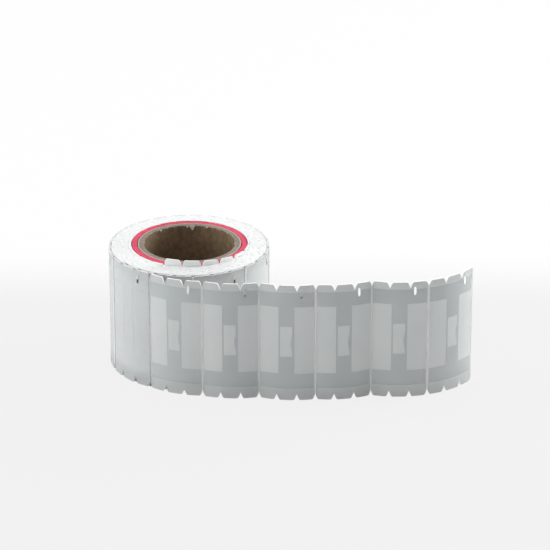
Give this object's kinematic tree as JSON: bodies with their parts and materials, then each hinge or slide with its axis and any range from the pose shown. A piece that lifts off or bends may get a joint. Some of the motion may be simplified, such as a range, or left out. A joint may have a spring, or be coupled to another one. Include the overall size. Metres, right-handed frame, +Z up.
{
  "type": "die-cut adhesive label roll",
  "caption": "Roll of die-cut film labels on a notched release liner, wound on a paperboard core over a red end leader, with a free strip whose folds bend and labels peel.",
  "frame": {"origin": "on the surface that the roll stands on, under the middle of the whole object's box; the core's axis is 27.717 mm towards -X and 3.024 mm towards +Y from it", "axes": "+Z up along the core's axis, +X along the free strip, away from the roll, -Y towards the labels' faces"},
  "size_m": [0.1004, 0.0508, 0.0366],
  "materials": {
    "core_board": "matt",
    "core_ply": "matt",
    "tape": "satin",
    "red_leader": "satin",
    "web_edge": "satin",
    "liner": "satin",
    "insert": "satin",
    "label": "satin"
  },
  "bodies": {
    "roll": {"core_board": "core_board", "core_outer_ply": "core_ply", "core_start_tape": "tape", "red_leader": "red_leader", "splice_tape": "tape", "first_turn": "web_edge", "wound_web": "web_edge"},
    "turn1": {"turn1_liner": "liner", "turn1_insert": "insert", "turn1_label": "label"},
    "turn2": {"turn2_liner": "liner", "turn2_insert": "insert", "turn2_label": "label"},
    "turn3": {"turn3_liner": "liner", "turn3_insert": "insert", "turn3_label": "label"},
    "turn4": {"turn4_liner": "liner", "turn4_insert": "insert", "turn4_label": "label"},
    "turn5": {"turn5_liner": "liner", "turn5_insert": "insert", "turn5_label": "label"},
    "turn6": {"turn6_liner": "liner", "turn6_insert": "insert", "turn6_label": "label"},
    "turn7": {"turn7_liner": "liner", "turn7_insert": "insert", "turn7_label": "label"},
    "turn8": {"turn8_liner": "liner", "turn8_insert": "insert", "turn8_label": "label"},
    "turn9": {"turn9_liner": "liner", "turn9_insert": "insert", "turn9_label": "label"},
    "strip1": {"strip1_liner": "liner"},
    "peel1": {"strip1_insert": "insert", "strip1_label": "label"},
    "strip2": {"strip2_liner": "liner"},
    "peel2": {"strip2_insert": "insert", "strip2_label": "label"},
    "strip3": {"strip3_liner": "liner"},
    "peel3": {"strip3_insert": "insert", "strip3_label": "label"},
    "strip4": {"strip4_liner": "liner"},
    "peel4": {"strip4_insert": "insert", "strip4_label": "label"},
    "strip5": {"strip5_liner": "liner"},
    "peel5": {"strip5_insert": "insert", "strip5_label": "label"},
    "strip6": {"strip6_liner": "liner"},
    "peel6": {"strip6_insert": "insert", "strip6_label": "label"}
  },
  "joints": [
    {"name": "unwind_1", "type": "hinge", "parent": "roll", "child": "turn1", "pos_m": [-0.04097, -0.0142, 0.0171], "axis": [0, 0, -1], "range_deg": [0, 38]},
    {"name": "unwind_2", "type": "hinge", "parent": "turn1", "child": "turn2", "pos_m": [-0.02622, -0.01872, 0.0171], "axis": [0, 0, -1], "range_deg": [0, 38]},
    {"name": "unwind_3", "type": "hinge", "parent": "turn2", "child": "turn3", "pos_m": [-0.01218, -0.01234, 0.0171], "axis": [0, 0, -1], "range_deg": [0, 38]},
    {"name": "unwind_4", "type": "hinge", "parent": "turn3", "child": "turn4", "pos_m": [-0.00585, 0.00173, 0.0171], "axis": [0, 0, -1], "range_deg": [0, 38]},
    {"name": "unwind_5", "type": "hinge", "parent": "turn4", "child": "turn5", "pos_m": [-0.01036, 0.01648, 0.0171], "axis": [0, 0, -1], "range_deg": [0, 38]},
    {"name": "unwind_6", "type": "hinge", "parent": "turn5", "child": "turn6", "pos_m": [-0.02346, 0.02463, 0.0171], "axis": [0, 0, -1], "range_deg": [0, 38]},
    {"name": "unwind_7", "type": "hinge", "parent": "turn6", "child": "turn7", "pos_m": [-0.03869, 0.02218, 0.0171], "axis": [0, 0, -1], "range_deg": [0, 38]},
    {"name": "unwind_8", "type": "hinge", "parent": "turn7", "child": "turn8", "pos_m": [-0.0486, 0.01036, 0.0171], "axis": [0, 0, -1], "range_deg": [0, 38]},
    {"name": "unwind_9", "type": "hinge", "parent": "turn8", "child": "turn9", "pos_m": [-0.04838, -0.00507, 0.0171], "axis": [0, 0, -1], "range_deg": [0, 38]},
    {"name": "strip_fold_1", "type": "hinge", "parent": "turn9", "child": "strip1", "pos_m": [-0.03816, -0.01662, 0.0171], "axis": [0, 0, -1], "range_deg": [-10, 25]},
    {"name": "strip_fold_2", "type": "hinge", "parent": "strip1", "child": "strip2", "pos_m": [-0.02374, -0.02216, 0.0171], "axis": [0, 0, -1], "range_deg": [-20, 12]},
    {"name": "strip_fold_3", "type": "hinge", "parent": "strip2", "child": "strip3", "pos_m": [-0.0083, -0.02297, 0.0171], "axis": [0, 0, -1], "range_deg": [-20, 12]},
    {"name": "strip_fold_4", "type": "hinge", "parent": "strip3", "child": "strip4", "pos_m": [0.00709, -0.02431, 0.0171], "axis": [0, 0, -1], "range_deg": [-20, 12]},
    {"name": "strip_fold_5", "type": "hinge", "parent": "strip4", "child": "strip5", "pos_m": [0.02231, -0.02163, 0.0171], "axis": [0, 0, -1], "range_deg": [-20, 12]},
    {"name": "strip_fold_6", "type": "hinge", "parent": "strip5", "child": "strip6", "pos_m": [0.03776, -0.02136, 0.0171], "axis": [0, 0, -1], "range_deg": [-20, 12]},
    {"name": "peel_1", "type": "hinge", "parent": "strip1", "child": "peel1", "pos_m": [-0.03799, -0.01689, 0.0171], "axis": [0, 0, -1], "range_deg": [0, 30]},
    {"name": "peel_2", "type": "hinge", "parent": "strip2", "child": "peel2", "pos_m": [-0.02349, -0.02236, 0.0171], "axis": [0, 0, -1], "range_deg": [0, 30]},
    {"name": "peel_3", "type": "hinge", "parent": "strip3", "child": "peel3", "pos_m": [-0.00807, -0.02317, 0.0171], "axis": [0, 0, -1], "range_deg": [0, 30]},
    {"name": "peel_4", "type": "hinge", "parent": "strip4", "child": "peel4", "pos_m": [0.00737, -0.02445, 0.0171], "axis": [0, 0, -1], "range_deg": [0, 30]},
    {"name": "peel_5", "type": "hinge", "parent": "strip5", "child": "peel5", "pos_m": [0.02257, -0.02181, 0.0171], "axis": [0, 0, -1], "range_deg": [0, 30]},
    {"name": "peel_6", "type": "hinge", "parent": "strip6", "child": "peel6", "pos_m": [0.03807, -0.02136, 0.0171], "axis": [0, 0, -1], "range_deg": [0, 30]}
  ],
  "couplings": [
    {"joint": "unwind_2", "follows": "unwind_1", "ratio": 1},
    {"joint": "unwind_3", "follows": "unwind_1", "ratio": 1},
    {"joint": "unwind_4", "follows": "unwind_1", "ratio": 1},
    {"joint": "unwind_5", "follows": "unwind_1", "ratio": 1},
    {"joint": "unwind_6", "follows": "unwind_1", "ratio": 1},
    {"joint": "unwind_7", "follows": "unwind_1", "ratio": 1},
    {"joint": "unwind_8", "follows": "unwind_1", "ratio": 1},
    {"joint": "unwind_9", "follows": "unwind_1", "ratio": 1}
  ]
}
